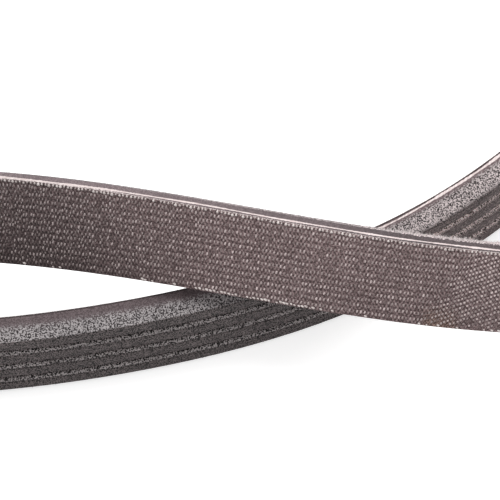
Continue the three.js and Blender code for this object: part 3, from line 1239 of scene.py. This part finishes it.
# %% Fibres on the flanks
OUTER_FIBRES = 40000
INNER_FIBRES = 14000
NEAT_SHARE = 0.04
FRAYED_SHARE = 0.40
FUZZY_SHARE = 0.60
FIBRE_LENGTH = 0.27 * MM
FIBRE_WIDTH = 0.10 * MM
FIBRE_STRAY = 0.75
GROOVE_LOWEST = 0.45
HIGHEST = 0.92
FUZZ_OUTWARD = 0.20 * MM
FUZZ_LONGER = 0.6
FUZZ_LIGHTER = 0.7


def flank_fibres(name, count, outer, seed):
    """Short spikes on the flanks: only the two outer ones, or any of them but high up."""
    length = random.uniform(0, 1, count) * LOOP
    if outer:
        share = NEAT_SHARE + FRAYED_SHARE * share_of(FRAYED_STRETCH, length)
        share = share + FUZZY_SHARE * share_of(FUZZY_STRETCH, length)
        length = length[random.uniform(0, 1, count) < share]
        count = len(length)
    side = random.choice([-1, 1], count)
    rib = np.where(side > 0, RIB_COUNT - 1, 0) if outer else random.integers(0, RIB_COUNT, count)
    lowest = 0.0 if outer else GROOVE_LOWEST
    rise = random.uniform(lowest, HIGHEST, count) * RIB_HEIGHT
    flank = RIB_ANGLE / 2
    half = (RIB_PITCH - GROOVE_FLOOR) / 2 - rise * math.tan(flank)
    fuzz = share_of(FUZZY_STRETCH, length)
    across = (rib + 0.5) * RIB_PITCH - HALF_WIDTH + side * (half + FUZZ_OUTWARD * fuzz)
    normal = np.array([np.zeros(count), side * math.cos(flank), np.full(count, math.sin(flank))])
    stray = random.normal(0, FIBRE_STRAY, (3, count))
    size = np.clip(random.lognormal(0, 0.35, count), 0.4, 2.0) * (1 + FUZZ_LONGER * fuzz)
    tone = random.uniform(0, 1, count) ** 0.7 + FUZZ_LIGHTER * fuzz
    return scattered_piece(name, "ribbed_rubber", length, GROOVE_DEPTH + rise, across, stand=(1, 0, 0),
                           lie=normal + stray, size=(size, 1, 1), tone=np.clip(tone, 0, 1.2),
                           Shape=fibre_shape, Length=FIBRE_LENGTH, Width=FIBRE_WIDTH, Height=FIBRE_WIDTH,
                           Size_Spread=0.2, Turn_Spread=0.3, Seed=seed, Material=FIBRE)


flank_fibres("outer_flank_fibres", OUTER_FIBRES, outer=True, seed=51)
flank_fibres("groove_fibres", INNER_FIBRES, outer=False, seed=52)

remove(guide, thread_shape, fibre_shape)

# %% [markdown]
# ## Floor and light
# The photograph has a plain white ground. The floor is pale. The Light Path node tells which rays show
# the background: those from the camera, off a shiny surface and through a clear one. For them the floor
# and the world are lifted to white, so the belt's own light stays as it is and its shadow still shows.
# The light is a soft white dome with one broad lamp above, because the upward faces are lighter than the
# crests.

# %% Floor
FLOOR_DROP = 0.02 * MM
FLOOR_REACH = 2.0
FLOOR_COLOUR = (0.8, 0.8, 0.8, 1)
FLOOR_LIFT = 0.64
floor_corners = [(x * FLOOR_REACH, y * FLOOR_REACH, 0) for x, y in ((-1, -1), (1, -1), (1, 1), (-1, 1))]
floor_mesh = bpy.data.meshes.new("floor")
floor_mesh.from_pydata(floor_corners, [], [(0, 1, 2, 3)])
floor = add_object("floor", floor_mesh)
floor.location.z = -FLOOR_DROP


def background_ray(tree):
    """1 for a ray that shows the background: from the camera, off a shiny surface or through a clear one."""
    path = tree.node("ShaderNodeLightPath")
    seen = tree.math("MAXIMUM", path.outputs["Is Camera Ray"], path.outputs["Is Glossy Ray"])
    return tree.math("MAXIMUM", seen, path.outputs["Is Transmission Ray"])


def white_background(tree, shader_socket, lift):
    """Adds light that only background rays see."""
    glow = tree.node("ShaderNodeEmission", Strength=tree.math("MULTIPLY", background_ray(tree), lift))
    return tree.node("ShaderNodeAddShader", _0=shader_socket, _1=glow)


def make_floor_material():
    material = bpy.data.materials.new("pale floor")
    material.use_nodes = True
    tree = Tree(material.node_tree)
    material.node_tree.nodes.remove(material.node_tree.nodes["Principled BSDF"])
    plain = tree.node("ShaderNodeBsdfDiffuse", Color=FLOOR_COLOUR)
    both = white_background(tree, plain, FLOOR_LIFT)
    tree.put(material.node_tree.nodes["Material Output"], "Surface", both)
    return material


floor_mesh.materials.append(make_floor_material())
floor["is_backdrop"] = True

# %% World and lamp
DOME_STRENGTH = 0.62
LAMP_POWER = 3.2
LAMP_SIZE = 0.5
LAMP_PLACE = (-0.1, 0.18, 0.7)
LAMP_TILT = (math.radians(-14), math.radians(-8), 0)

world = bpy.data.worlds.new("studio")
bpy.context.scene.world = world
world.use_nodes = True
world_tree = Tree(world.node_tree)
background = world.node_tree.nodes["Background"]
background.inputs["Color"].default_value = (1, 1, 1, 1)
shown = background_ray(world_tree)
strength = world_tree.math("MULTIPLY_ADD", shown, 1 - DOME_STRENGTH, DOME_STRENGTH)
world_tree.put(background, "Strength", strength)

lamp_data = bpy.data.lights.new("overhead lamp", "AREA")
lamp_data.shape = "SQUARE"
lamp_data.size = LAMP_SIZE
lamp_data.energy = LAMP_POWER
lamp = add_object("overhead lamp", lamp_data)
lamp.location = LAMP_PLACE
lamp.rotation_euler = LAMP_TILT
bpy.context.scene.view_settings.view_transform = "Standard"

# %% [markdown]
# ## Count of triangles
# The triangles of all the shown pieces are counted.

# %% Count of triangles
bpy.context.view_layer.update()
total = sum(triangles(piece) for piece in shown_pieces() if piece.type == "MESH")
print("triangles in all:", total)
